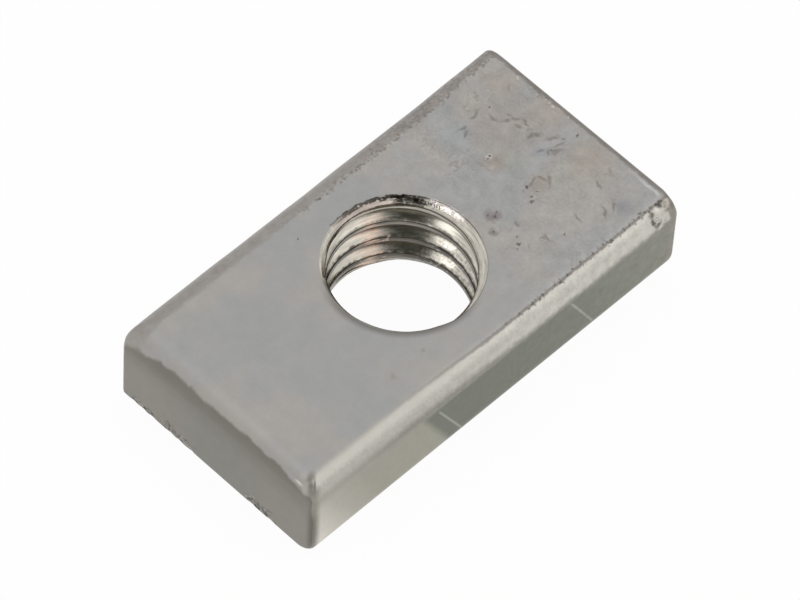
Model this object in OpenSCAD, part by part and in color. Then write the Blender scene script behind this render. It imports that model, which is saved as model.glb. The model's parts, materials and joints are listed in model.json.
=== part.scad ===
// Threaded plate: a short piece of drawn flat bar, cropped at both ends and tapped through its middle.
// X runs along the bar, Y across it and Z up through its thickness, from the middle of the lower face.

/* [Plate] */
// Length along the bar, between the two cropped ends
plate_length = 22.5; // [16:0.1:40]
// Width of the flat bar
plate_width = 12; // [11:0.1:24]
// Thickness of the flat bar
plate_thickness = 5; // [3.5:0.1:12]
// Radius of the bar's four long edges
long_edge_radius = 1; // [0.3:0.05:1.2]

/* [Cropped ends] */
// Radius of the edge that the blade rolled over: the upper edge of one end, the lower edge of the other
end_roll_radius = 1.2; // [0.4:0.05:1.6]
// Radius of the edge across from the roll, where the cut broke through
end_break_radius = 0.25; // [0.1:0.05:0.8]
// Radius of the four upright corners
end_corner_radius = 0.25; // [0.1:0.05:0.8]

/* [Tapped hole] */
// Nominal diameter of the thread
thread_diameter = 8; // [5:0.1:9]
// Pitch of the thread
thread_pitch = 1.25; // [0.5:0.05:1.75]
// Width of the countersunk ring round the hole, on both faces
countersink_width = 0.3; // [0.1:0.05:0.8]
// Included angle of the countersinks
countersink_angle = 90; // [60:5:120]

/* [Hidden] */
$fn = 96;
// Bright zinc-plated steel
plate_colour = "#A3A29F";
// How far a shape runs past the faces that it cuts or that cut it
overrun = 2;
// The bore is the thread's crest, five eighths of its full triangle inside the nominal diameter
thread_triangle = sqrt(3) / 2 * thread_pitch;
bore_radius = thread_diameter / 2 - 5 / 8 * thread_triangle;
countersink_depth = countersink_width / tan(countersink_angle / 2);

// Corner of a centred rectangle, counted from the upper right one and on to the left
function corner_side(i) = [i == 0 || i == 3 ? 1 : -1, i < 2 ? 1 : -1];

// The two points where a corner's round meets the rectangle's sides, in their order round it
function corner_tangents(i, size, radius) =
    let (
        side = corner_side(i),
        on_upright = [side.x * size.x / 2, side.y * (size.y / 2 - radius)],
        on_level = [side.x * (size.x / 2 - radius), side.y * size.y / 2]
    )
    i % 2 == 0 ? [on_upright, on_level] : [on_level, on_upright];

// Centred rectangle with a radius for each corner
module rounded_rectangle(size, radii) {
    polygon([for (i = [0:3]) each corner_tangents(i, size, radii[i])]);
    for (i = [0:3]) {
        side = corner_side(i);
        translate([side.x * (size.x / 2 - radii[i]), side.y * (size.y / 2 - radii[i])])
            circle(r = radii[i]);
    }
}

// The drawn bar, longer than the plate, with its round long edges
module drawn_bar() {
    translate([0, 0, plate_thickness / 2])
        rotate([90, 0, 90])
            linear_extrude(height = plate_length + 2 * overrun, center = true)
                rounded_rectangle(
                    [plate_width, plate_thickness],
                    [for (i = [0:3]) long_edge_radius]
                );
}

// Side view of the cropped length: rolled and broken edges lie across from each other
module cropped_length() {
    translate([0, 0, plate_thickness / 2])
        rotate([90, 0, 0])
            linear_extrude(height = plate_width + 2 * overrun, center = true)
                rounded_rectangle(
                    [plate_length, plate_thickness],
                    [end_break_radius, end_roll_radius, end_break_radius, end_roll_radius]
                );
}

// Plan view, which rounds the upright corners of the ends
module corner_block() {
    translate([0, 0, -overrun])
        linear_extrude(height = plate_thickness + 2 * overrun)
            rounded_rectangle(
                [plate_length, plate_width],
                [for (i = [0:3]) end_corner_radius]
            );
}

// Cone that opens at the lower face and runs out below it
module countersink() {
    spread = overrun * tan(countersink_angle / 2);
    translate([0, 0, -overrun])
        cylinder(
            r1 = bore_radius + countersink_width + spread,
            r2 = bore_radius,
            h = countersink_depth + overrun
        );
}

// Drilled hole with a countersink on each face
module tapped_hole() {
    translate([0, 0, -overrun])
        cylinder(r = bore_radius, h = plate_thickness + 2 * overrun);
    countersink();
    translate([0, 0, plate_thickness])
        mirror([0, 0, 1])
            countersink();
}

module threaded_plate() {
    color(plate_colour)
        difference() {
            intersection() {
                drawn_bar();
                cropped_length();
                corner_block();
            }
            tapped_hole();
        }
}

threaded_plate();
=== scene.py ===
import json
import math

import bpy
import numpy as np
from mathutils import Matrix, Vector, noise


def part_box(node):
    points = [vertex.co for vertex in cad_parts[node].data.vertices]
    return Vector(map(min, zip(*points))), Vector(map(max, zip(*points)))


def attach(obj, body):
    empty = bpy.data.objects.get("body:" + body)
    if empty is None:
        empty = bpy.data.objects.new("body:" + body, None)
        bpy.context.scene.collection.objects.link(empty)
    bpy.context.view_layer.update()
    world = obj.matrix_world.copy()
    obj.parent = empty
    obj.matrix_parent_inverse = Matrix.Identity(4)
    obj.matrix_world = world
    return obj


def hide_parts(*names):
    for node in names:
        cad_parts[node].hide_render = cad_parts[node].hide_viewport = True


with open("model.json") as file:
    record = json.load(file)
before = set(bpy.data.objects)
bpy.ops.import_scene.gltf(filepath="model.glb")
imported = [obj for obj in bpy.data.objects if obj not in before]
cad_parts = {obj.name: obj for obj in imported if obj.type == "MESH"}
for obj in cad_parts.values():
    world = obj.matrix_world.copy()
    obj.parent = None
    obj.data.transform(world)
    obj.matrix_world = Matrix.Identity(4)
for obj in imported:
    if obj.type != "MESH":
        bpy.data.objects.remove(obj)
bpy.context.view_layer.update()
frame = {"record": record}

scene = bpy.context.scene
scene.view_settings.view_transform = "Standard"

mm = 0.001  # sizes below are written in millimetres, the scene is in metres
plateLow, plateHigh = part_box("threaded_plate")
plateLength, plateWidth, plateThickness = (plateHigh - plateLow) / mm
plateMiddle = (plateLow + plateHigh) / 2
threadMount = next(mount for mount in frame["record"]["mounts"] if mount["name"] == "thread")
crestRadius = threadMount["dims"]["r_mm"]
countersinkDepth = (plateThickness - threadMount["dims"]["length_mm"]) / 2
print("frame: plate of %.2f x %.2f x %.2f mm" % (plateLength, plateWidth, plateThickness))


# adds one node with its settings and its inputs, in order or by name, and returns one of its outputs
def addNode(tree, kind, inputs=(), out=0, **settings):
    node = tree.nodes.new(kind if "Node" in kind else "ShaderNode" + kind)
    for name, value in settings.items():
        setattr(node, name, value)
    for key, value in inputs.items() if isinstance(inputs, dict) else enumerate(inputs):
        if isinstance(value, bpy.types.NodeSocket):
            tree.links.new(value, node.inputs[key])
        else:
            node.inputs[key].default_value = value
    return node.outputs[out] if len(node.outputs) else node


def linear(hexColour):
    channels = [int(hexColour[i:i + 2], 16) / 255 for i in (1, 3, 5)]
    curve = [c / 12.92 if c <= 0.04045 else ((c + 0.055) / 1.055) ** 2.4 for c in channels]
    return (*curve, 1.0)


def newMaterial(name):
    material = bpy.data.materials.new(name)
    material.use_nodes = True
    material.node_tree.nodes.clear()
    return material


# camera: a long lens, standing where the photograph was taken from
cameraSetup = {
    "azimuth": -47.902,  # degrees, 0 looks along +Y
    "elevation": 55.236,
    "roll": 3.765,
    "distance": 307.77,  # mm from the plate's middle
    "slide": (-0.043, -0.184),  # mm to the right and up
    "lens": 315.0,
    "sensor": 36.0,
    "nearClip": 10.0,
}


def viewDirection(azimuth, elevation):
    a = math.radians(azimuth)
    e = math.radians(elevation)
    return Vector((math.sin(a) * math.cos(e), -math.cos(a) * math.cos(e), math.sin(e)))


def makeCamera():
    back = viewDirection(cameraSetup["azimuth"], cameraSetup["elevation"])
    right = Vector((0, 0, 1)).cross(back).normalized()
    up = back.cross(right)
    roll = math.radians(cameraSetup["roll"])
    level = right
    right = level * math.cos(roll) + up * math.sin(roll)
    up = up * math.cos(roll) - level * math.sin(roll)
    slideRight, slideUp = cameraSetup["slide"]
    place = plateMiddle + (back * cameraSetup["distance"] + right * slideRight + up * slideUp) * mm
    data = bpy.data.cameras.new("camera")
    data.lens = cameraSetup["lens"]
    data.sensor_width = cameraSetup["sensor"]
    data.clip_start = cameraSetup["nearClip"] * mm
    camera = bpy.data.objects.new("camera", data)
    turn = Matrix((right, up, back)).transposed().to_4x4()
    camera.matrix_world = Matrix.Translation(place) @ turn
    scene.collection.objects.link(camera)
    scene.camera = camera


makeCamera()
print("camera: done")


# floor: a pale sweep of card that the plate lies on
floorSetup = {
    "size": 1600.0,
    "drop": 0.02,  # just clear of the plate's lower face
    "card": "#F4F3F0",
    "glow": 0.96,  # share that a camera or mirror ray sees as plain white
}


def makeFloor():
    half = floorSetup["size"] / 2 * mm
    z = plateLow.z - floorSetup["drop"] * mm
    mesh = bpy.data.meshes.new("floor")
    corners = [(-half, -half, z), (half, -half, z), (half, half, z), (-half, half, z)]
    mesh.from_pydata(corners, [], [(0, 1, 2, 3)])
    floor = bpy.data.objects.new("floor", mesh)
    scene.collection.objects.link(floor)
    material = newMaterial("white card")
    tree = material.node_tree
    card = addNode(tree, "BsdfDiffuse", {"Color": linear(floorSetup["card"])})
    white = addNode(tree, "Emission", {"Color": (1, 1, 1, 1), "Strength": 1.0})
    rays = addNode(tree, "LightPath").node.outputs
    seen = rays["Is Camera Ray"]
    for ray in ("Is Glossy Ray", "Is Transmission Ray"):
        seen = addNode(tree, "Math", (seen, rays[ray]), operation="MAXIMUM")
    share = addNode(tree, "Math", (seen, floorSetup["glow"]), operation="MULTIPLY")
    both = addNode(tree, "MixShader", (share, card, white))
    addNode(tree, "OutputMaterial", {"Surface": both})
    mesh.materials.append(material)


makeFloor()

# a white tent with a dark opening for the camera, and softboxes that shine through it;
# places are as seen from the camera: azimuth 90 is at its right hand
tent = {
    "white": 0.95,
    "horizon": 0.85,  # it is dimmer low down,
    "fullHeight": 0.5,  # up to this height on a unit dome
    "opening": {"azimuth": 8, "elevation": 64, "inner": 17, "outer": 23},  # degrees
    "dark": "#3A3D37",
}
softboxes = {
    "right": {"azimuth": 84, "elevation": 54, "distance": 520, "size": (400, 420), "radiance": 0.27},
    "left": {"azimuth": -53, "elevation": 60, "distance": 520, "size": (135, 140), "radiance": 1.2},
}


def makeLights():
    for name, box in softboxes.items():
        towards = viewDirection(cameraSetup["azimuth"] + box["azimuth"], box["elevation"])
        width, height = [side * mm for side in box["size"]]
        data = bpy.data.lights.new(name + " softbox", "AREA")
        data.shape = "RECTANGLE"
        data.size = width
        data.size_y = height
        data.energy = 4 * width * height * box["radiance"]  # gives the box that radiance
        lamp = bpy.data.objects.new(name + " softbox", data)
        turn = towards.to_track_quat("Z", "Y").to_matrix().to_4x4()
        lamp.matrix_world = Matrix.Translation(plateMiddle + towards * box["distance"] * mm) @ turn
        scene.collection.objects.link(lamp)


def makeTent():
    world = bpy.data.worlds.new("studio tent")
    world.use_nodes = True
    tree = world.node_tree
    tree.nodes.clear()
    gap = tent["opening"]
    gapWay = viewDirection(cameraSetup["azimuth"] + gap["azimuth"], gap["elevation"])
    way = addNode(tree, "TexCoord", out="Generated")
    high = addNode(tree, "SeparateXYZ", (way,), out=2)
    white = addNode(tree, "MapRange", (high, 0.0, tent["fullHeight"], tent["horizon"], tent["white"]))
    near = addNode(tree, "VectorMath", (way, gapWay), out=1, operation="DOT_PRODUCT")
    outer, inner = [math.cos(math.radians(gap[rim])) for rim in ("outer", "inner")]
    hidden = addNode(tree, "MapRange", (near, outer, inner), interpolation_type="SMOOTHSTEP")
    dark = linear(tent["dark"])
    colour = addNode(tree, "Mix", {0: hidden, 6: white, 7: dark}, out=2, data_type="RGBA")
    cloth = addNode(tree, "Background", {"Color": colour, "Strength": 1.0})
    addNode(tree, "OutputWorld", {"Surface": cloth})
    scene.world = world


makeLights()
makeTent()
print("floor, lights and tent: done")

# plate: a drawn bar, cropped at both ends, before its hole is tapped
plateShape = {
    "longEdgeRadius": 1.0,
    "nearRollFront": 0.9,  # the cropping blade rolled this end's upper edge over, more towards the back
    "nearRollBack": 1.6,
    "farRoll": 1.2,  # at the other end it rolled the lower edge
    "nearBreak": {"top": 0.05, "side": 0.24, "bottom": 0.16},  # how far each edge of the end is broken
    "farBreak": {"top": 0.26, "side": 0.2, "bottom": 0.05},
    "nearBackRadii": (1.0, 0.25),  # the back edge's upper and lower radius at the ends, pushed square
    "farBackRadii": (0.82, 1.0),
    "sharpReach": 5.0,  # how far along the bar that goes
    "block": 5.0,  # half side of the square patch that the hole is set in
    "flatCells": 64,
    "sideCells": 56,
    "arcCells": 12,
    "ringCells": 6,
    "endCells": 40,
}
# wear: what cropping and tumbling took off, as (x, y, z, radius, depth) of each dent
plateWear = {
    "knocks": [
        (9.87, -5.8, 4.6, 0.34, 0.13),
        (10.49, -5.43, 4.95, 0.24, 0.1),
        (10.8, -5.7, 4.5, 0.5, 0.07),
        (10.3, -5.95, 4.1, 0.4, 0.06),
        (10.35, -5.75, 4.5, 0.2, 0.08),
        (10.62, -5.6, 4.75, 0.16, 0.07),
    ],
    "nickedEdge": (5.19, 4.64, 4.0, 2.9, 2.34, 1.56, -2.2, -3.37),  # along the near end's lower edge
    "nick": (0.12, 0.24, 0.03),  # height, radius and depth
    "waviness": 0.035,  # of the upper long edges
    "waveLength": 1.9,
    "waveGain": 1.5,
    "edgeReach": 1.0,
    "edgeFade": 0.3,
}
# tapped hole: a right-hand M8 x 1.25 thread, countersunk at both faces
tappedHole = {
    "crestRadius": crestRadius,
    "threadDepth": 4.0 - crestRadius,  # out to the nominal 8 mm
    "pitch": 1.25,
    "grooveHalfWidth": 1.25 * 3 / 8,  # at the crest
    "flankAngle": 30.0,  # degrees
    "flankCells": 4,
    "crestCells": 2,
    "start": 0.07,  # turns, where the thread comes in
    "mouthRadius": crestRadius + countersinkDepth,  # the countersinks are at 45 degrees
    "breakout": 0.08,  # how far the thread's groove may cut past that mouth
    "rimBreak": 0.06,
    "rowBevel": 0.02,
    "faceRings": ((4.3, 0), (4.5, 0.25), (4.6, 0.6)),  # radius, and share of the way on to the patch's border
    "snap": 0.02,  # rows closer to a face than this join its rim
    "burr": 0.1,  # how far the upper rim is torn, on the far side
    "burrMiddle": 65.0,  # degrees
    "seed": 7,
}


# the bar's cross-section as points (y, z) and outward normals, from the upper face's low-y end round by +y
def sectionLoop(upperBackRadius, lowerBackRadius):
    shape = plateShape
    radii = [upperBackRadius, lowerBackRadius, shape["longEdgeRadius"], shape["longEdgeRadius"]]
    sides = np.array([(1, 1), (1, -1), (-1, -1), (-1, 1)])
    corners = [side * (plateWidth / 2 - r, plateThickness / 2 - r) for side, r in zip(sides, radii)]
    points = []
    normals = []
    for c in range(4):
        turn = math.pi / 2 * (1 - c)
        cells = shape["sideCells"] if c % 2 else shape["flatCells"]
        normal = np.array([math.cos(turn), math.sin(turn)])
        runStart = corners[c - 1] + normal * radii[c - 1]
        runEnd = corners[c] + normal * radii[c]
        for t in range(cells):
            points.append(runStart + (runEnd - runStart) * t / cells)
            normals.append(normal)
        for t in range(shape["arcCells"]):
            angle = turn - math.pi / 2 * t / shape["arcCells"]
            normal = np.array([math.cos(angle), math.sin(angle)])
            points.append(corners[c] + normal * radii[c])
            normals.append(normal)
    return np.array(points) + (0, plateThickness / 2), np.array(normals)


# how far a rolled edge of this radius has drawn the end face back, at a depth below the roll's face
def rolledBack(radius, depth):
    rise = np.clip(radius - depth, 0, radius)
    return radius - np.sqrt(radius ** 2 - rise ** 2)


def nearEnd(y, z):
    share = y / plateWidth + 0.5
    radius = plateShape["nearRollFront"] * (1 - share) + plateShape["nearRollBack"] * share
    return -plateLength / 2 + rolledBack(radius, plateThickness - z)


def farEnd(y, z):
    return plateLength / 2 - rolledBack(plateShape["farRoll"], z)


# rings of points (x, y, z) along the bar, from the near end's face to the far one's
def barRings():
    shape = plateShape
    plain = shape["longEdgeRadius"]
    rings = []
    ends = (
        (nearEnd, -1, shape["nearBreak"], shape["nearBackRadii"]),
        (farEnd, 1, shape["farBreak"], shape["farBackRadii"]),
    )
    for end, side, broken, backRadii in ends:
        section, normals = sectionLoop(*backRadii)
        up = np.clip(normals[:, 1], 0, 1) ** 2
        down = np.clip(-normals[:, 1], 0, 1) ** 2
        across = normals[:, 0] ** 2
        radius = broken["top"] * up + broken["side"] * across + broken["bottom"] * down
        half = []
        for step in range(shape["ringCells"] + 1):
            angle = math.pi / 2 * (1 - step / shape["ringCells"])
            y, z = (section - normals * (radius * (1 - math.cos(angle)))[:, None]).T
            half.append(np.stack([end(y, z) - side * radius * (1 - math.sin(angle)), y, z], axis=1))
        last = half[-1]
        for step in range(1, shape["endCells"] + 1):
            ring = last.copy()
            ring[:, 0] += (side * shape["block"] - ring[:, 0]) * step / shape["endCells"]
            inland = min(1.0, np.mean(np.abs(ring[:, 0] - last[:, 0])) / shape["sharpReach"])
            fade = inland * inland * (3 - 2 * inland)
            ring[:, 1:] = sectionLoop(*[radius + (plain - radius) * fade for radius in backRadii])[0]
            half.append(ring)
        rings.append(half)
    near, far = rings
    between = []
    for step in range(1, shape["flatCells"]):
        ring = near[-1].copy()
        ring[:, 0] += 2 * shape["block"] * step / shape["flatCells"]
        between.append(ring)
    return np.array(near + between + far[::-1])


# closes an end with a grid spanned between the four sides of its ring of points
def endCap(ring, ringIndex, end, firstIndex, flip):
    shape = plateShape
    flat, arc, side = shape["flatCells"], shape["arcCells"], shape["sideCells"]
    count = len(ring)
    columns, rows = flat + arc, side + arc
    start = -(arc // 2)
    top = [(start + c) % count for c in range(columns + 1)]
    right = [(start + columns + r) % count for r in range(rows + 1)]
    bottom = [(start + 2 * columns + rows - c) % count for c in range(columns + 1)]
    left = [(start - r) % count for r in range(rows + 1)]
    grid = np.zeros((rows + 1, columns + 1), dtype=int)
    points = []
    for r in range(rows + 1):
        v = r / rows
        for c in range(columns + 1):
            u = c / columns
            if r == 0 or r == rows:
                grid[r, c] = ringIndex[(top if r == 0 else bottom)[c]]
                continue
            if c == 0 or c == columns:
                grid[r, c] = ringIndex[(left if c == 0 else right)[r]]
                continue
            a, b, d, e = ring[top[0]], ring[top[-1]], ring[bottom[0]], ring[bottom[-1]]
            lofted = ring[top[c]] * (1 - v) + ring[bottom[c]] * v
            lofted = lofted + ring[left[r]] * (1 - u) + ring[right[r]] * u
            point = lofted - (a * (1 - u) + b * u) * (1 - v) - (d * (1 - u) + e * u) * v
            point[0] = end(point[1], point[2])
            grid[r, c] = firstIndex + len(points)
            points.append(point)
    faces = []
    for r in range(rows):
        for c in range(columns):
            face = [grid[r, c], grid[r, c + 1], grid[r + 1, c + 1], grid[r + 1, c]]
            faces.append(face if flip else face[::-1])
    return points, faces


# depths of the bore wall's rows within one pitch, bunched where the thread's form turns
def threadRows():
    hole = tappedHole
    pitch = hole["pitch"]
    half = hole["grooveHalfWidth"]
    root = half - hole["threadDepth"] * math.tan(math.radians(hole["flankAngle"]))
    bevel = hole["rowBevel"]
    stretches = (
        (root, half, hole["flankCells"]),
        (half, pitch - half, hole["crestCells"]),
        (pitch - half, pitch - root, hole["flankCells"]),
    )
    rows = [0.0]
    for low, high, cells in stretches:
        for t in range(cells + 1):
            rows.append(low + bevel + (high - low - 2 * bevel) * t / cells)
    rows.append(pitch - root + bevel)
    return rows


# how far wear has pushed each point in along its normal, in mm
def wearDepth(spots):
    wear = plateWear
    dents = wear["knocks"] + [(-plateLength / 2, y, *wear["nick"]) for y in wear["nickedEdge"]]
    depth = np.zeros(len(spots))
    for x, y, z, radius, deepest in dents:
        away = np.linalg.norm(spots - (x, y, z), axis=1) / radius
        depth += deepest * np.clip(1 - away ** 2, 0, 1) ** 2
    reach, fade = wear["edgeReach"], wear["edgeFade"]
    edgeward = np.clip((np.abs(spots[:, 1]) - plateWidth / 2 + reach) / fade, 0, 1)
    edgeward *= np.clip((spots[:, 2] - plateThickness + reach) / fade, 0, 1)
    waves = np.array([noise.noise(Vector(spot) / wear["waveLength"]) for spot in spots])
    return depth + wear["waviness"] * edgeward * (0.5 + 0.5 * np.clip(waves * wear["waveGain"], -1, 1))


def plateBlank():
    shape = plateShape
    hole = tappedHole
    flat = shape["flatCells"]
    rings = barRings()
    stations, around = rings.shape[:2]
    points = list(rings.reshape(-1, 3))
    index = np.arange(stations * around).reshape(stations, around)
    lowerStart = flat + 2 * shape["arcCells"] + shape["sideCells"]
    left = shape["ringCells"] + shape["endCells"]
    right = left + flat
    faces = []
    for s in range(stations - 1):
        for j in range(around):
            inHole = left <= s < right and (j < flat or lowerStart <= j < lowerStart + flat)
            if not inHole:
                k = (j + 1) % around
                faces.append([index[s, j], index[s + 1, j], index[s + 1, k], index[s, k]])
    for station, end, flip in ((0, nearEnd, True), (stations - 1, farEnd, False)):
        capPoints, capFaces = endCap(rings[station], index[station], end, len(points), flip)
        points += capPoints
        faces += capFaces

    # upper and lower face round the hole: rings of points from its rim out to the square patch
    count = 4 * flat
    angles = 2 * math.pi * np.arange(count) / count
    rims = []
    stepped = {}
    bore = set()
    for z, column in ((plateThickness, lambda y: y), (0.0, lambda y: lowerStart + flat - y)):
        edge = [(right, y) for y in range(flat // 2, flat)]
        edge += [(s, flat) for s in range(right, left, -1)]
        edge += [(left, y) for y in range(flat, 0, -1)]
        edge += [(s, 0) for s in range(left, right)]
        edge += [(right, y) for y in range(0, flat // 2)]
        border = [index[s, column(y)] for s, y in edge]
        ringIndex = []
        for radius, share in ((hole["mouthRadius"], 0), (hole["mouthRadius"], 0), *hole["faceRings"]):
            ringIndex.append(list(range(len(points), len(points) + count)))
            for i, angle in enumerate(angles):
                circle = np.array([radius * math.cos(angle), radius * math.sin(angle), z])
                points.append(circle * (1 - share) + points[border[i]] * share)
        ringIndex.append(border)
        rims.append(ringIndex[0])
        bore.update(ringIndex[0] + ringIndex[1])
        stepped.update({v: hole["rimBreak"] * mm for v in ringIndex[1]})
        for inner, outer in zip(ringIndex, ringIndex[1:]):
            for i in range(count):
                k = (i + 1) % count
                face = [inner[i], outer[i], outer[k], inner[k]]
                faces.append(face if z else face[::-1])

    # bore wall: rows that climb with the thread, so that crest and root get clean edges
    pitch = hole["pitch"]
    rows = threadRows()
    perPitch = len(rows)
    firstTurn = math.ceil(plateThickness / pitch - hole["start"])
    turns = firstTurn + 2
    rowDepth = [pitch * turn + depth for turn in range(turns) for depth in rows]
    snap = hole["snap"]
    wall = []
    for i in range(count):
        column = []
        for depth in rowDepth:
            z = pitch * (hole["start"] + firstTurn + i / count) - depth
            if z > plateThickness - snap:
                column.append(rims[0][i])
            elif z < snap:
                column.append(rims[1][i])
            else:
                column.append(len(points))
                bore.add(len(points))
                across, along = math.cos(angles[i]), math.sin(angles[i])
                points.append(np.array([hole["crestRadius"] * across, hole["crestRadius"] * along, z]))
        wall.append(column)
    wall.append([rims[0][0]] * perPitch + wall[0][:-perPitch])  # the last column meets the first one pitch up
    for i in range(count):
        for k in range(len(rowDepth) - 1):
            corners = [wall[i][k], wall[i + 1][k], wall[i + 1][k + 1], wall[i][k + 1]]
            face = [v for n, v in enumerate(corners) if v != corners[n - 1]]
            if len(set(face)) == len(face) > 2:
                faces.append(face)

    used = sorted({v for face in faces for v in face})
    place = {v: n for n, v in enumerate(used)}
    mesh = bpy.data.meshes.new("threadedPlate")
    coords = [Vector(points[v]) * mm + Vector((plateMiddle.x, plateMiddle.y, plateLow.z)) for v in used]
    mesh.from_pydata(coords, [], [[place[v] for v in face] for face in faces])
    normals = np.zeros(len(used) * 3)
    mesh.vertices.foreach_get("normal", normals)
    normals = normals.reshape(-1, 3)
    wall = np.array([v in bore for v in used])
    tilt = np.abs(normals[:, 0])
    tilt[wall] = 0
    worn = wearDepth(np.array([points[v] for v in used]))
    worn[wall] = 0
    moved = np.array([tuple(v) for v in coords]) - normals * worn[:, None] * mm
    mesh.vertices.foreach_set("co", moved.ravel())
    endTilt = mesh.attributes.new("endTilt", "FLOAT", "POINT")  # 0 along the bar, 1 on its end faces
    endTilt.data.foreach_set("value", tilt)
    cut = mesh.attributes.new("boreWall", "FLOAT", "POINT")
    cut.data.foreach_set("value", wall.astype(float))
    step = mesh.attributes.new("rimStep", "FLOAT", "POINT")
    step.data.foreach_set("value", [stepped.get(v, 0.0) for v in used])
    return mesh


# a soft-edged mask: the product of steps, each as (value, where it is nothing, where it is full)
def softMask(tree, *steps):
    mask = None
    for step in steps:
        rise = addNode(tree, "MapRange", step, interpolation_type="SMOOTHSTEP")
        mask = rise if mask is None else addNode(tree, "Math", (mask, rise), operation="MULTIPLY")
    return mask


# a mask that is full at a place and fades out over an oval's half sizes, turned about Z
def ovalMask(tree, place, at, half, turn=0.0, core=0.2):
    local = addNode(tree, "VectorMath", (place, at), operation="SUBTRACT")
    if turn:
        ways = ((math.cos(turn), math.sin(turn), 0), (-math.sin(turn), math.cos(turn), 0), (0, 0, 1))
        parts = [addNode(tree, "VectorMath", (local, way), out=1, operation="DOT_PRODUCT") for way in ways]
        local = addNode(tree, "CombineXYZ", parts)
    local = addNode(tree, "VectorMath", (local, half), operation="DIVIDE")
    far = addNode(tree, "VectorMath", (local,), out=1, operation="LENGTH")
    return softMask(tree, (far, 1.0, core))


# the stronger of two masks at each place
def either(tree, one, other):
    return other if one is None else addNode(tree, "Math", (one, other), operation="MAXIMUM")


# a mask that is kept under a name, or one made of steps that name their fields
def stepMask(tree, field, steps):
    if isinstance(steps[0], str):
        return field[steps[0]]
    return softMask(tree, *[(field[name], *ends) for name, *ends in steps])


# makes a field by an operation on its parts: numbers, names of earlier fields, or the steps of a MASK
def workOut(tree, field, name, operation, parts):
    inputs = [field.get(part, part) for part in parts]
    if operation == "MASK":
        field[name] = stepMask(tree, field, parts)
    elif operation == "RANGE":
        field[name] = addNode(tree, "MapRange", inputs)
    else:
        field[name] = addNode(tree, "Math", inputs, operation=operation)


# how the bore wall's points are pushed out, as rows of (name, operation, parts), in metres
threadForm = {
    "rows": [
        ("angle", "ARCTAN2", "y", "x"),
        ("turn", "DIVIDE", "angle", 2 * math.pi),
        ("height", "SUBTRACT", "z", "Lower Face"),
        ("level", "DIVIDE", "height", "Pitch"),
        ("level", "SUBTRACT", "level", "turn"),
        ("level", "SUBTRACT", "level", "Start"),
        ("level", "WRAP", "level", 0.5, -0.5),
        ("away", "ABSOLUTE", "level"),
        ("away", "MULTIPLY", "away", "Pitch"),
        ("inside", "SUBTRACT", "Groove Half Width", "away"),
        ("groove", "MULTIPLY", "inside", math.sqrt(3)),  # its flanks stand at 60 degrees
        ("groove", "MAXIMUM", "groove", 0.0),
        ("groove", "MINIMUM", "groove", "Thread Depth"),
        ("radius", "ADD", "groove", "Crest Radius"),
        ("fromTop", "SUBTRACT", "Upper Face", "z"),  # from here on the countersinks
        ("faceDepth", "MINIMUM", "fromTop", "height"),
        ("limit", "ADD", "Mouth Radius", "Breakout"),
        ("limit", "ADD", "limit", "faceDepth"),
        ("radius", "MINIMUM", "radius", "limit"),
        ("cone", "SUBTRACT", "Mouth Radius", "fromTop"),
        ("radius", "MAXIMUM", "radius", "cone"),
        ("cone", "SUBTRACT", "Mouth Radius", "height"),
        ("radius", "MAXIMUM", "radius", "cone"),
        ("radius", "ADD", "radius", "rimStep"),
        ("torn", "RANGE", "rough", 0.5, 0.75, 0.0, "Burr"),  # the upper rim's torn stretch
        ("nearTop", "RANGE", "fromTop", 0.0, 0.25 * mm, 1.0, 0.0),
        ("torn", "MULTIPLY", "torn", "nearTop"),
        ("sector", "SUBTRACT", "angle", math.radians(tappedHole["burrMiddle"])),
        ("sector", "COSINE", "sector"),
        ("sector", "RANGE", "sector", 0.55, 0.85),
        ("torn", "MULTIPLY", "torn", "sector"),
        ("radius", "ADD", "radius", "torn"),
        ("across", "COSINE", "angle"),
        ("across", "MULTIPLY", "across", "radius"),
        ("along", "SINE", "angle"),
        ("along", "MULTIPLY", "along", "radius"),
    ],
    "roughScale": 2600.0,  # noise that tears the rim, per metre
    "roughDetail": 3.0,
}


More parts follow.
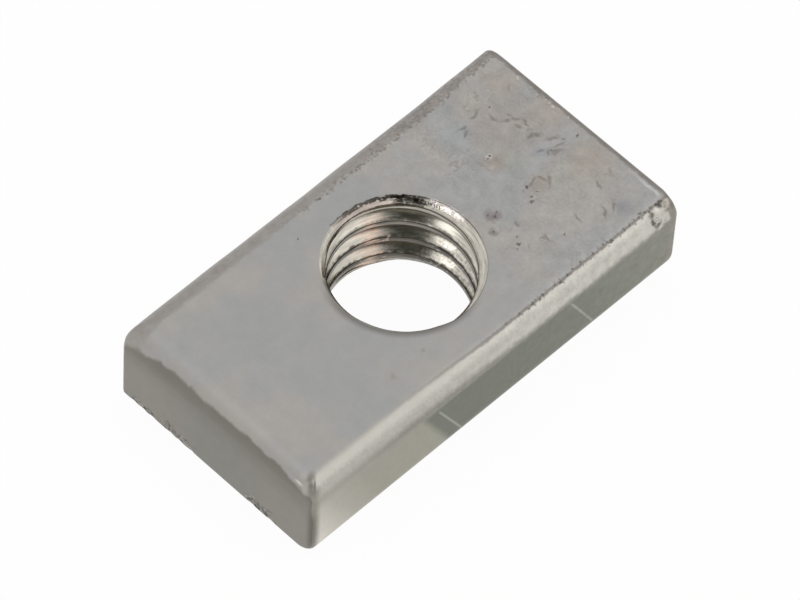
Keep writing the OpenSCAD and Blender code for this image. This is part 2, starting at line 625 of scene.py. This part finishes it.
# geometry nodes that push the bore wall out to the thread's form and the two countersinks
def threadTree():
    tree = bpy.data.node_groups.new("cut thread", "GeometryNodeTree")
    lengths = ("Crest Radius", "Thread Depth", "Pitch", "Groove Half Width", "Start", "Mouth Radius",
               "Breakout", "Lower Face", "Upper Face", "Burr")
    sockets = [("Geometry", "Geometry"), *[(name, "Float") for name in lengths],
               ("Seed", "Int"), ("Material", "Material")]
    for name, kind in sockets:
        tree.interface.new_socket(name, in_out="INPUT", socket_type="NodeSocket" + kind)
    tree.interface.new_socket("Geometry", in_out="OUTPUT", socket_type="NodeSocketGeometry")
    given = addNode(tree, "NodeGroupInput").node.outputs
    position = addNode(tree, "GeometryNodeInputPosition")
    x, y, z = addNode(tree, "SeparateXYZ", (position,)).node.outputs
    field = {"x": x, "y": y, "z": z, **{name: given[name] for name in lengths}}
    for name in ("rimStep", "boreWall"):
        field[name] = addNode(tree, "GeometryNodeInputNamedAttribute", {"Name": name}, data_type="FLOAT")
    field["rough"] = addNode(tree, "TexNoise", {
        "Vector": position,
        "W": given["Seed"],
        "Scale": threadForm["roughScale"],
        "Detail": threadForm["roughDetail"],
    }, noise_dimensions="4D")
    for name, operation, *parts in threadForm["rows"]:
        workOut(tree, field, name, operation, parts)
    pushed = addNode(tree, "CombineXYZ", (field["across"], field["along"], z))
    wall = addNode(tree, "FunctionNodeCompare", (field["boreWall"], 0.5), operation="GREATER_THAN")
    body = addNode(tree, "GeometryNodeSetPosition", {
        "Geometry": given["Geometry"], "Selection": wall, "Position": pushed,
    })
    body = addNode(tree, "GeometryNodeSetShadeSmooth", {"Geometry": body})
    body = addNode(tree, "GeometryNodeRealizeInstances", (body,))
    body = addNode(tree, "GeometryNodeSetMaterial", {"Geometry": body, "Material": given["Material"]})
    addNode(tree, "NodeGroupOutput", (body,))
    return tree


mouth = tappedHole["mouthRadius"]
crest = tappedHole["crestRadius"]
# zinc plated steel: barrel plated and cleared, a satin grey that drifts between blue and straw;
# tumbling leaves pits and wavy scratches, and the cropped ends are painted darker, partly as cut steel under
# a thin plating and partly as painted shade.
# Its stretches are rows in mm: a field (name, operation, parts), a colour (name, "BLEND", one, other, steps)
# or a layer of paint (share, colour, steps), where a step is (field, where it is nothing, where it is full)
zincFinish = {
    "roughness": {"sheet": 0.38, "cropped": 0.48, "thread": 0.2},
    "bump": 0.006,
    "colours": {
        "cool": "#A3A3A2", "warm": "#ABA7A2",
        "bandNear": "#BCB9B1", "bandFar": "#C5C2BA",  # the front edge's band of painted highlight
        "dullNear": "#A5A299", "dullFar": "#8F8D85",  # painted shade under the band
        "foot": "#8E8A82",  # painted shade on the lower edge by the near corner
        # the band's border line and flecks, and painted reflection lines across the side
        "bandLine": "#857F7A", "darkFleck": "#625C56", "sideLine": "#A9AB9E",
        # the back long edge: painted shade, darker still on the far half, with dark flecks and painted
        # highlights
        "backEdge": "#98938E", "backWorn": "#918B86", "backFleck": "#77706A", "backLight": "#B4B0AA",
        # the cut faces, painted darker partly as cut steel and partly as painted shade, and a painted
        # highlight on the rolled rim above them
        "cutMiddle": "#888780", "cutOuter": "#8F8A83", "cutTop": "#807D76", "cutRim": "#A9A49E",
        # painted shade at the far end's corner and upper edge, and painted glints
        "farEdge": "#7F7872", "farCorner": "#88847B", "glint": "#DEDBD4",
        # the thread, painted shade for its crests, and a copper tint
        "thread": "#C0BBB0", "crest": "#4A463F", "copper": "#C9AE9C",
        "cone": "#C6B9B0",  # the upper countersink's far side
        # painted shadow and dark reflection at the torn rim, painted glints on it, and painted shade round
        # the rim
        "burr": "#35312D", "rimGlint": "#F3E9E6", "rimShade": "#6F6B66",
        "nick": "#403C36", "chip": "#CBC7BE", "scratch": "#746E67", "speck": "#57504A",
    },
    "noises": {  # size in mm and detail
        "drift": (3.2, 2.0),
        "cloud": (0.6, 3.0),
        "grain": (0.11, 2.0),
        "torn": (0.3, 3.0),
        "bend": (0.7, 2.0),
        "fleck": (0.16, 2.0),
        "lines": (0.6, 2.0),
        "gaps": (1.4, 2.0),
    },
    "noiseStep": 7.3,  # between the noises' seeds
    "shifts": {"bend": (0.8, 0.8, 0.0), "fleck": (0.3, 0.3, 0.3)},  # how far noise moves the marks
    "streaks": (9, 0.06, 9),  # tool marks in the bore: per mm outward, degree round and mm up
    "streakDetail": 3.0,
    "shadedRim": 222.0,  # degrees round the hole, the side where the rim gets painted shade
    "borders": [  # torn by a fine noise and bent by a coarser one
        ("tear", "SUBTRACT", "torn", 0.5),
        ("sway", "SUBTRACT", "bend", 0.5),
        ("tornY", "MULTIPLY_ADD", "tear", 0.14, "y"),
        ("tornZ", "MULTIPLY_ADD", "tear", 0.2, "z"),
        ("raggedX", "MULTIPLY_ADD", "tear", 0.3, "x"),
        ("slant", "MULTIPLY_ADD", "z", 0.55, "x"),
        ("tumbled", "MASK", ("x", 0.0, 6.0)),  # the far half took more knocks
    ],
    "band": [  # a painted highlight on the front long edge, narrower and softer at the near end
        ("topSoft", "RANGE", "x", -4.0, 3.0, 0.26, 0.07),
        ("lowSoft", "RANGE", "x", -4.0, 3.0, 0.3, 0.2),
        ("bandTop", "RANGE", "x", -5.0, 0.0, -5.16, -5.36),
        ("aboveBand", "SUBTRACT", "tornY", "bandTop"),
        ("bandBorder", "ABSOLUTE", "aboveBand"),
        ("aboveBand", "DIVIDE", "aboveBand", "topSoft"),
        ("bandLow", "RANGE", "x", -4.8, -2.0, 4.38, 4.3),
        ("further", "RANGE", "x", -2.0, 2.0, 0.0, 0.2),
        ("bandLow", "SUBTRACT", "bandLow", "further"),
        ("bandLow", "SUBTRACT", "tornZ", "bandLow"),
        ("bandLow", "DIVIDE", "bandLow", "lowSoft"),
        ("sideSoft", "RANGE", "x", -10.0, -3.0, 0.5, 0.16),
        ("aboveSide", "SUBTRACT", "tornZ", 3.86),
        ("aboveSide", "DIVIDE", "aboveSide", "sideSoft"),
        ("bright", "BLEND", "bandNear", "bandFar", ("x", -6.0, 4.0)),
    ],
    "nearEnd": [  # the rolled edge turns into the cut face where it is steep, later at the corners
        ("aside", "ABSOLUTE", "y"),
        ("cornerward", "MASK", ("aside", 3.0, 6.0), ("z", 2.5, 3.4)),
        ("steep", "MULTIPLY_ADD", "cornerward", -0.14, "tilt"),
        ("steep", "MULTIPLY_ADD", "sway", 0.2, "steep"),
        ("steep", "MULTIPLY_ADD", "tear", 0.06, "steep"),
        ("cutFace", "MASK", ("steep", 0.78, 0.87)),
    ],
    "boreWall": [  # it lies under the faces, so that depth opens the mask out to the thread's root
        ("below", "SUBTRACT", plateThickness, "z"),
        ("depth", "MINIMUM", "below", "z"),
        ("inward", "MULTIPLY_ADD", "depth", -4.0, "radius"),
        ("bore", "MASK", ("inward", mouth + 0.07, mouth + 0.02), ("radius", 4.4, 4.3)),
        ("angle", "ARCTAN2", "y", "x"),
        ("angle", "DEGREES", "angle"),
        ("tornAngle", "MULTIPLY_ADD", "tear", 30.0, "angle"),
    ],
    "frontSide": {  # painted reflection of the floor on the front side, light by the near end and dark where it mirrors the plate's shadow; along the bar, from the near end: slanting place in mm and colour
        -10.2: "#D4CFC5",
        -8.2: "#AEAA9F",
        -6.4: "#9D9A8D",
        -2.7: "#999789",
        -2.3: "#6C6F64",
        2.0: "#6E7165",
        6.6: "#737569",
        12.0: "#818175",
    },
    "grounds": [
        ("plate", "BLEND", "cool", "warm", ("drift", 0.38, 0.62)),
        ("outer", "MULTIPLY_ADD", "sway", 3.0, "aside"),
        # the cut faces' colour, partly cut steel and partly painted shade
        ("cropped", "BLEND", "cutMiddle", "cutOuter", ("outer", 1.0, 3.6)),
        ("cropped", "BLEND", "cropped", "cutTop", ("tornZ", 2.2, 4.4)),
    ],
    "markDepth": 0.3,  # how far marks on the upper face reach down
    "stainShare": 0.75,
    "stains": [  # place, radius and colour of soft patches on the upper face
        (10.1, 4.0, 1.4, "#A9A199"),
        (10.3, 1.4, 1.7, "#AAA199"),
        (10.0, -1.7, 1.7, "#A8A098"),
        (7.4, 0.5, 0.9, "#A0A29C"),
        (8.3, 2.2, 2.6, "#A69F99"),
        (6.73, 1.15, 0.75, "#9F958D"),
        (6.5, 3.3, 1.4, "#A1A3A5"),
        (8.7, 0.1, 0.6, "#9C9EA3"),
        (7.2, -1.2, 0.9, "#A39B94"),
        (4.7, -0.85, 0.5, "#857B7C"),
        (4.1, -1.55, 0.3, "#857C79"),
        (9.2, -4.6, 0.6, "#939396"),
        (-4.5, -3.95, 0.25, "#9B958C"),
        (-2.74, -3.9, 0.2, "#979490"),
    ],
    "hairlines": [  # dark and light ones, where a noise crosses its middle
        ("contour", "SUBTRACT", "lines", 0.5),
        ("line", "ABSOLUTE", "contour"),
        (0.36, "scratch", ("line", 0.07, 0.0), ("gaps", 0.5, 0.6), ("torn", 0.44, 0.54),
         ("z", 4.9, 4.97), ("tumbled", 0, 1)),
        ("line", "SUBTRACT", "contour", 0.04),
        ("line", "ABSOLUTE", "line"),
        (0.25, "chip", ("line", 0.07, 0.0), ("gaps", 0.5, 0.6), ("torn", 0.44, 0.54),
         ("z", 4.9, 4.97), ("tumbled", 0, 1)),
    ],
    "scratches": {
        "share": 0.6,
        "half": 0.13,
        "past": 0.1,  # how far each runs on past its ends
        "core": 0.1,
        "runs": [
            (8.51, 2.47, 8.98, 2.18), (8.98, 2.18, 9.32, 2.02), (9.32, 2.02, 9.34, 1.54),
            (9.09, 1.17, 9.42, 0.56), (8.67, -0.3, 9.14, -0.22), (9.14, -0.22, 9.9, -0.33),
            (8.5, 0.2, 8.9, -0.05), (7.54, -0.73, 6.86, -0.84), (7.54, -0.73, 7.58, -1.37),
            (5.11, -1.64, 5.18, -2.07), (5.36, -3.12, 5.39, -3.52), (9.31, -2.77, 9.13, -3.19),
            (7.0, 3.1, 6.7, 2.9), (8.5, 3.02, 8.51, 2.47), (8.98, 2.56, 9.2, 2.21),
            (9.3, 1.88, 9.37, 1.44), (8.79, 1.99, 9.03, 1.61), (8.69, 1.03, 9.32, 0.96),
            (9.11, 0.56, 10.11, -0.01), (8.77, -0.39, 9.64, -0.46), (8.01, -0.95, 7.52, -1.68),
            (8.51, -3.73, 8.09, -4.44), (9.19, -3.99, 8.63, -4.35), (5.55, -2.94, 5.53, -3.88),
            (7.62, 3.46, 8.41, 3.62), (6.77, 3.36, 7.18, 3.27), (7.32, -3.35, 7.28, -3.83),
        ],
    },
    "specks": {
        "share": 0.8,
        "radii": (0.075, 0.1125, 0.06),  # in turn
        "stretch": 1.3,
        "at": [
            (8.76, 3.34), (10.46, -0.41), (9.9, -0.1), (9.07, -0.15), (6.86, -0.84), (6.99, -1.33),
            (6.61, -1.34), (6.45, -1.54), (4.54, -0.73), (4.94, -0.88), (4.7, -1.0), (4.08, -1.55),
            (4.62, -2.43), (4.39, -2.74), (4.21, -2.95), (6.21, -3.78), (-0.23, 5.0), (0.48, 5.26),
            (-2.4, 4.09),
        ],
    },
    "pit": {  # a ringed one: place, radius and share of its ring and of the holes in it
        "ring": (6.8, 1.46, 0.24, 0.75),
        "holes": [(6.86, 1.48, 0.09, 0.9), (6.7, 1.43, 0.07, 0.9)],
    },
    # the back long edge's round: painted shade, darker still on the far half, with dark flecks and flecks of
    # painted highlight along its border
    "backEdge": [
        ("taper", "MASK", ("x", 6.0, 10.8)),  # it narrows towards the far corner
        ("backward", "MULTIPLY_ADD", "taper", -0.3, "y"),
        ("backward", "MULTIPLY_ADD", "tear", 0.5, "backward"),
        ("backEdge", "MASK", ("backward", 4.86, 5.12), ("z", 3.7, 3.9)),
        (0.9, "backEdge", "backEdge"),
        (0.6, "backWorn", ("backEdge", 0, 1), ("tumbled", 0, 1)),
        ("border", "SUBTRACT", "backward", 5.0),
        ("border", "ABSOLUTE", "border"),
        ("flecks", "MASK", ("x", -6.0, 4.0), ("z", 4.5, 4.6)),
        (0.7, "backFleck", ("border", 0.2, 0.06), ("fleck", 0.52, 0.6), ("flecks", 0, 1)),
        (0.6, "backLight", ("border", 0.24, 0.1), ("fleck", 0.46, 0.4), ("flecks", 0, 1)),
    ],
    "frontEdge": [
        # painted shade under the band, lighter by the near end
        ("dull", "BLEND", "dullNear", "dullFar", ("x", -11.0, -4.5)),
        (1, "dull", ("aboveBand", 0.6, -0.8), ("z", 3.0, 3.3)),
        # the front side's painted reflection
        (1, "side", ("aboveSide", 1.0, -1.0), ("y", -5.2, -5.4)),
        # painted shade on the lower edge by the near corner
        (0.6, "foot", ("tornZ", 1.0, 0.4), ("x", -7.5, -9.5), ("y", -5.0, -5.4)),
        # the band's painted highlight
        (1, "bright", ("aboveBand", 0.6, -0.8), ("bandLow", -0.9, 0.9)),
        (0.9, "bandLine", ("bandBorder", 0.1, 0.03), ("x", -8.0, 3.0), ("z", 4.6, 4.8)),
        (0.85, "darkFleck", ("bandBorder", 0.2, 0.05), ("fleck", 0.54, 0.62), ("x", -2.0, 4.0),
         ("z", 4.5, 4.7)),
        # two painted reflection lines across the front side, along the slant
        ("across", "SUBTRACT", "slant", -1.69),
        ("across", "ABSOLUTE", "across"),
        (0.6, "sideLine", ("across", 0.1, 0.02), ("z", 0.6, 1.1), ("z", 3.7, 3.5), ("y", -5.5, -5.8)),
        ("across", "SUBTRACT", "slant", 6.55),
        ("across", "ABSOLUTE", "across"),
        (0.6, "sideLine", ("across", 0.1, 0.02), ("z", 0.6, 1.1), ("z", 3.8, 3.6), ("y", -5.5, -5.8)),
    ],
    "croppedEnds": [
        # a painted highlight where the rolled edge steepens into the cut face
        (0.5, "cutRim", ("steep", 0.4, 0.68)),
        # the cut faces, darker partly as cut steel and partly as painted shade
        (1, "cropped", "cutFace"),
        # painted shade on the far end's upright front corner and along its upper edge, and painted glints
        # inside that edge
        (0.85, "farCorner", ("raggedX", 10.64, 10.84), ("y", -5.5, -5.8)),
        (0.8, "farEdge", ("raggedX", 10.86, 11.02), ("z", 4.4, 4.6)),
        (0.6, "glint", ("raggedX", 10.72, 10.82), ("raggedX", 11.0, 10.92), ("fleck", 0.52, 0.62),
         ("bend", 0.52, 0.6), ("z", 4.8, 4.9)),
        (0.4, "glint", ("raggedX", 10.68, 10.76), ("raggedX", 10.9, 10.82), ("y", -3.2, -4.4),
         ("y", -5.2, -5.0), ("z", 4.8, 4.9)),
    ],
    "nickedEdge": [  # three stretches of the near end's lower edge
        ("chippedY", "MULTIPLY_ADD", "tear", 2.5, "y"),
        ("chippedZ", "MULTIPLY_ADD", "sway", 1.6, "tornZ"),
        ("runs", "MASK", ("chippedY", 3.5, 4.1), ("chippedY", 5.65, 5.05)),
        ("run", "MASK", ("chippedY", 1.1, 1.7), ("chippedY", 3.4, 2.8)),
        ("runs", "MAXIMUM", "runs", "run"),
        ("run", "MASK", ("chippedY", -3.8, -3.2), ("chippedY", -1.7, -2.3)),
        ("runs", "MAXIMUM", "runs", "run"),
        ("lowEdge", "MASK", ("runs", 0, 1), ("x", -10.8, -11.0)),
        (0.85, "nick", ("lowEdge", 0, 1), ("chippedZ", 0.85, 0.3), ("fleck", 0.44, 0.54)),
        (0.35, "chip", ("lowEdge", 0, 1), ("chippedZ", 0.9, 0.5), ("fleck", 0.42, 0.36)),
    ],
    "lump": {"at": (10.3, -5.68, 4.55), "half": (0.8, 0.6, 0.85), "core": 0.4},  # at the right front corner
    "knockedLump": [
        (0.7, "glint", ("lump", 0, 1), ("torn", 0.46, 0.36)),
        (0.6, "darkFleck", ("lump", 0, 1), ("fleck", 0.54, 0.64)),
    ],
    "cornerShare": 0.85,
    "cornerCore": 0.1,
    "cornerMarks": [  # painted shade in the corners' creases and dents and painted highlights on their bumps: place, half sizes and colour at the plate's front corners
        ((-11.2, -5.9, 2.0), (0.46, 0.46, 3.8), "#69655C"),
        ((-10.72, -5.12, 4.9), (0.42, 0.26, 0.3), "#8B857F"),
        ((-11.0, -5.62, 4.5), (0.45, 0.42, 0.55), "#7F7B74"),
        ((-10.76, -5.2, 4.86), (0.3, 0.26, 0.26), "#827C77"),
        ((-10.92, -5.42, 4.76), (0.3, 0.26, 0.28), "#7D7570"),
        ((-10.86, -4.86, 4.8), (0.3, 0.34, 0.26), "#ADAAA1"),
        ((-11.1, -4.86, 4.56), (0.1, 0.36, 0.1), "#D9D5CB"),
        ((10.4, -5.7, 4.55), (0.45, 0.45, 0.7), "#CBC5BA"),
        ((10.25, -5.55, 4.72), (0.28, 0.24, 0.3), "#DAD6CC"),
        ((10.15, -5.95, 4.1), (0.3, 0.2, 0.3), "#D2CDC2"),
        ((9.6, -5.62, 4.6), (0.22, 0.2, 0.24), "#D8D4CA"),
        ((9.9, -5.52, 4.72), (0.24, 0.26, 0.24), "#5A544C"),
        ((9.82, -5.76, 4.48), (0.2, 0.26, 0.3), "#38342E"),
        ((10.02, -5.92, 4.25), (0.34, 0.2, 0.18), "#433F38"),
        ((10.88, -5.55, 4.78), (0.2, 0.2, 0.22), "#C6C0B7"),
        ((10.5, -5.42, 4.82), (0.26, 0.22, 0.26), "#3F3D35"),
        ((10.78, -5.5, 4.75), (0.2, 0.2, 0.2), "#8D867B"),
        ((9.51, -5.22, 4.96), (0.2, 0.12, 0.14), "#5A544C"),
    ],
    "tappedHole": [
        ("ridge", "MULTIPLY_ADD", "tear", 0.3, "radius"),
        ("rim", "SUBTRACT", "ridge", mouth),
        ("rim", "ABSOLUTE", "rim"),
        (0.8, "rimShade", ("inward", mouth + 0.45, mouth + 0.02), ("radius", 4.4, 4.3),
         ("shadedSide", 1.0, 3.0)),
        (1, "thread", "bore"),
        # painted shade on the thread's crests
        (0.9, "crest", ("ridge", crest + 0.12, crest + 0.03), ("depth", 0.2, 0.35), ("below", -1.0, 2.8)),
        ("rightSide", "MASK", ("bore", 0, 1), ("tornAngle", 36, 16), ("tornAngle", -60, -50),
         ("below", 1.6, 3.0)),
        (0.4, "rimShade", ("rightSide", 0, 1), ("fleck", 0.5, 0.64)),
        (0.3, "rimGlint", ("rightSide", 0, 1), ("fleck", 0.46, 0.36)),
        (0.75, "copper", ("tornAngle", 54, 60), ("tornAngle", 84, 68), ("drawn", 0.38, 0.54),
         ("radius", 4.1, 4.05), ("z", 3.95, 3.6)),
        (0.8, "cone", ("below", 0.36, 0.28), ("tornAngle", 46, 54), ("tornAngle", 104, 90),
         ("radius", mouth + 0.06, mouth)),
        # painted dark reflection on the upper countersink between about 24 and 60 degrees, then painted
        # shadow under the torn rim
        (0.75, "burr", ("tornAngle", 24, 32), ("tornAngle", 60, 48), ("below", 0.36, 0.26),
         ("torn", 0.4, 0.52), ("radius", mouth + 0.06, mouth)),
        (0.9, "burr", ("tornAngle", 22, 30), ("tornAngle", 110, 88), ("rim", 0.11, 0.06),
         ("fleck", 0.3, 0.46), ("below", 0.3, 0.22)),
        (0.95, "rimGlint", ("tornAngle", -4, 4), ("tornAngle", 29, 23), ("rim", 0.14, 0.07),
         ("torn", 0.42, 0.5), ("below", 0.3, 0.22)),
        (0.9, "rimShade", ("radius", mouth + 0.1, mouth), ("shadedSide", 0.5, 1.5), ("below", 0.5, 0.4)),
    ],
    "shading": [  # soft clouds, and a grain that is strongest on the tumbled half and the front side
        ("cloudy", "SUBTRACT", "cloud", 0.5),
        ("clouds", "MULTIPLY_ADD", "tumbled", 0.3, 0.14),
        ("cloudy", "MULTIPLY_ADD", "cloudy", "clouds", 1.0),
        ("grainy", "SUBTRACT", "grain", 0.5),
        ("front", "MASK", ("y", -5.3, -5.6)),
        ("worn", "MAXIMUM", "tumbled", "front"),
        ("worn", "MULTIPLY_ADD", "worn", 0.7, 0.3),
        ("grainy", "MULTIPLY", "grainy", "worn"),
        ("shade", "MULTIPLY_ADD", "grainy", 0.35, "cloudy"),
        ("frontBand", "MASK", ("y", -5.3, -5.6), ("x", -9.0, 3.0)),
        ("mottled", "MAXIMUM", "backEdge", "frontBand"),
        ("mottled", "MULTIPLY", "tear", "mottled"),
        ("shade", "MULTIPLY_ADD", "mottled", 0.45, "shade"),
        ("flecked", "SUBTRACT", "fleck", 0.5),
        ("knocked", "MULTIPLY_ADD", "backEdge", 1.1, 0.12),
        ("knocked", "MULTIPLY", "knocked", "tumbled"),
        ("flecked", "MULTIPLY", "flecked", "knocked"),
        ("shade", "ADD", "flecked", "shade"),
        ("streaky", "SUBTRACT", "drawn", 0.5),
        ("streaky", "MULTIPLY", "streaky", "bore"),
        ("shade", "MULTIPLY_ADD", "streaky", 1.2, "shade"),
    ],
    "relief": [
        ("gloss", "MULTIPLY_ADD", "grainy", 0.2, "gloss"),
        ("height", "MULTIPLY_ADD", "cloud", 0.6, "grain"),
        ("outside", "MULTIPLY_ADD", "bore", -0.8, 1.0),
        ("height", "MULTIPLY", "height", "outside"),
        ("tornRim", "MASK", ("below", 0.34, 0.2), ("radius", mouth + 0.15, mouth + 0.05),
         ("tornAngle", -4, 8), ("tornAngle", 112, 92), ("radius", 2.0, 3.0)),
        ("facets", "MULTIPLY", "tornRim", "torn"),
        ("height", "MULTIPLY_ADD", "facets", 6.0, "height"),
    ],
}


def zincPlatedSteel():
    finish = zincFinish
    material = newMaterial("zinc plated steel")
    tree = material.node_tree
    palette = {name: linear(hexColour) for name, hexColour in finish["colours"].items()}
    place = addNode(tree, "TexCoord", out="Object")
    place = addNode(tree, "VectorMath", {0: place, "Scale": 1 / mm}, operation="SCALE")
    x, y, z = addNode(tree, "SeparateXYZ", (place,)).node.outputs
    field = {"x": x, "y": y, "z": z}
    for seed, (name, (size, detail)) in enumerate(finish["noises"].items()):
        field[name] = addNode(tree, "TexNoise", {
            "Vector": place, "W": finish["noiseStep"] * seed, "Scale": 1 / size, "Detail": detail,
        }, noise_dimensions="4D")

    def blend(name, one, other, mask):
        palette[name] = addNode(tree, "Mix", {0: mask, 6: one, 7: other}, out=2, data_type="RGBA")

    # paints over what is there already; each mask is used up before the next one is made
    def paint(share, over, mask):
        if share < 1:
            mask = addNode(tree, "Math", (mask, share), operation="MULTIPLY")
        blend("plate", palette["plate"], over, mask)

    # works through one stretch of the finish
    def follow(stretch):
        for first, second, *parts in finish[stretch]:
            if second == "BLEND":
                one, other, *steps = parts
                blend(first, palette[one], palette[other], stepMask(tree, field, steps))
            elif isinstance(first, str):
                workOut(tree, field, first, second, parts)
            else:
                paint(first, palette[second], stepMask(tree, field, parts))

    follow("borders")
    follow("band")
    field["tilt"] = addNode(tree, "Attribute", out="Fac", attribute_name="endTilt")
    follow("nearEnd")
    level = addNode(tree, "VectorMath", (place, (1, 1, 0)), operation="MULTIPLY")
    field["radius"] = addNode(tree, "VectorMath", (level,), out=1, operation="LENGTH")
    shaded = math.radians(finish["shadedRim"])
    shadedWay = (math.cos(shaded), math.sin(shaded), 0)
    field["shadedSide"] = addNode(tree, "VectorMath", (place, shadedWay), out=1, operation="DOT_PRODUCT")
    follow("boreWall")
    drawn = addNode(tree, "CombineXYZ", (field["radius"], field["angle"], z))
    drawn = addNode(tree, "VectorMath", (drawn, finish["streaks"]), operation="MULTIPLY")
    field["drawn"] = addNode(tree, "TexNoise", {
        "Vector": drawn, "Scale": 1.0, "Detail": finish["streakDetail"],
    })
    # the front side's painted reflection, as a ramp along the slant
    first, last = min(finish["frontSide"]), max(finish["frontSide"])
    side = addNode(tree, "MapRange", (field["slant"], first, last))
    palette["side"] = addNode(tree, "ValToRGB", (side,))
    stops = palette["side"].node.color_ramp.elements
    for at, hexColour in finish["frontSide"].items():
        share = (at - first) / (last - first)
        stop = stops[0] if at == first else stops[-1] if at == last else stops.new(share)
        stop.color = linear(hexColour)
    follow("grounds")

    # marks on the upper face are drawn on moved coordinates, which makes scratches wavy and specks ragged
    shifted = {}
    for name, amount in finish["shifts"].items():
        channels = addNode(tree, "SeparateColor", (field[name].node.outputs["Color"],)).node.outputs
        shift = addNode(tree, "CombineXYZ", channels[:3])
        shift = addNode(tree, "VectorMath", (shift, (0.5, 0.5, 0.5)), operation="SUBTRACT")
        shifted[name] = addNode(tree, "VectorMath", (shift, amount, place), operation="MULTIPLY_ADD")
    bent = shifted["bend"]
    ragged = shifted["fleck"]
    top = plateThickness
    deep = finish["markDepth"]
    for sx, sy, size, hexColour in finish["stains"]:
        mask = ovalMask(tree, bent, (sx, sy, top), (size, size, deep))
        paint(finish["stainShare"], linear(hexColour), mask)
    follow("hairlines")
    scratches = finish["scratches"]
    mask = None
    for ax, ay, bx, by in scratches["runs"]:
        middle = ((ax + bx) / 2, (ay + by) / 2, top)
        half = (math.hypot(bx - ax, by - ay) / 2 + scratches["past"], scratches["half"], deep)
        turn = math.atan2(by - ay, bx - ax)
        mask = either(tree, mask, ovalMask(tree, bent, middle, half, turn, scratches["core"]))
    paint(scratches["share"], palette["scratch"], mask)
    specks = finish["specks"]
    mask = None
    for n, (sx, sy) in enumerate(specks["at"]):
        size = specks["radii"][n % len(specks["radii"])]
        half = (specks["stretch"] * size, size, deep)
        mask = either(tree, mask, ovalMask(tree, ragged, (sx, sy, top), half))
    paint(specks["share"], palette["speck"], mask)
    sx, sy, size, share = finish["pit"]["ring"]
    paint(share, palette["chip"], ovalMask(tree, ragged, (sx, sy, top), (size, size, deep)))
    for sx, sy, size, share in finish["pit"]["holes"]:
        paint(share, palette["nick"], ovalMask(tree, place, (sx, sy, top), (size, size, deep)))

    for stretch in ("backEdge", "frontEdge", "croppedEnds", "nickedEdge"):
        follow(stretch)
    lump = finish["lump"]
    field["lump"] = ovalMask(tree, ragged, lump["at"], lump["half"], core=lump["core"])
    follow("knockedLump")
    # painted shade and highlights at the front corners
    for at, half, hexColour in finish["cornerMarks"]:
        mask = ovalMask(tree, ragged if at[0] > 0 else place, at, half, core=finish["cornerCore"])
        paint(finish["cornerShare"], linear(hexColour), mask)
    follow("tappedHole")  # last, as it waits for the streaks

    follow("shading")
    colour = addNode(tree, "VectorMath", {0: palette["plate"], "Scale": field["shade"]}, operation="SCALE")
    rough = finish["roughness"]
    field["gloss"] = rough["sheet"]
    for mask, over in (("cutFace", rough["cropped"]), ("bore", rough["thread"])):
        field["gloss"] = addNode(tree, "Mix", {0: field[mask], 2: field["gloss"], 3: over})
    follow("relief")
    bump = addNode(tree, "Bump", {
        "Height": field["height"], "Strength": 1.0, "Distance": finish["bump"] * mm,
    })
    shader = addNode(tree, "BsdfPrincipled", {
        "Base Color": colour,
        "Metallic": 1.0,
        "Roughness": field["gloss"],
        "Normal": bump,
    })
    addNode(tree, "OutputMaterial", {"Surface": shader})
    return material


# turns a mesh and a node tree with its sizes into one plain mesh object
def realise(name, mesh, tree, sizes):
    rough = bpy.data.objects.new(name + "Blank", mesh)
    scene.collection.objects.link(rough)
    modifier = rough.modifiers.new(tree.name, "NODES")
    modifier.node_group = tree
    for item in tree.interface.items_tree:
        if item.in_out == "INPUT" and item.name in sizes:
            modifier[item.identifier] = sizes[item.name]
    bpy.context.view_layer.update()
    seen = rough.evaluated_get(bpy.context.evaluated_depsgraph_get())
    finished = bpy.data.meshes.new_from_object(seen)
    rough.modifiers.remove(modifier)
    bpy.data.objects.remove(rough)
    finished.name = name
    piece = bpy.data.objects.new(name, finished)
    scene.collection.objects.link(piece)
    return piece


def makePlate():
    hole = tappedHole
    steel = zincPlatedSteel()
    plate = realise("threadedPlate", plateBlank(), threadTree(), {
        "Crest Radius": hole["crestRadius"] * mm,
        "Thread Depth": hole["threadDepth"] * mm,
        "Pitch": hole["pitch"] * mm,
        "Groove Half Width": hole["grooveHalfWidth"] * mm,
        "Start": hole["start"],
        "Mouth Radius": hole["mouthRadius"] * mm,
        "Breakout": hole["breakout"] * mm,
        "Lower Face": plateLow.z,
        "Upper Face": plateHigh.z,
        "Burr": hole["burr"] * mm,
        "Seed": hole["seed"],
        "Material": steel,
    })
    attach(plate, "root")
    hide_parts("threaded_plate")
    triangles = sum(len(face.vertices) - 2 for face in plate.data.polygons)
    print("plate: %d triangles" % triangles)


makePlate()
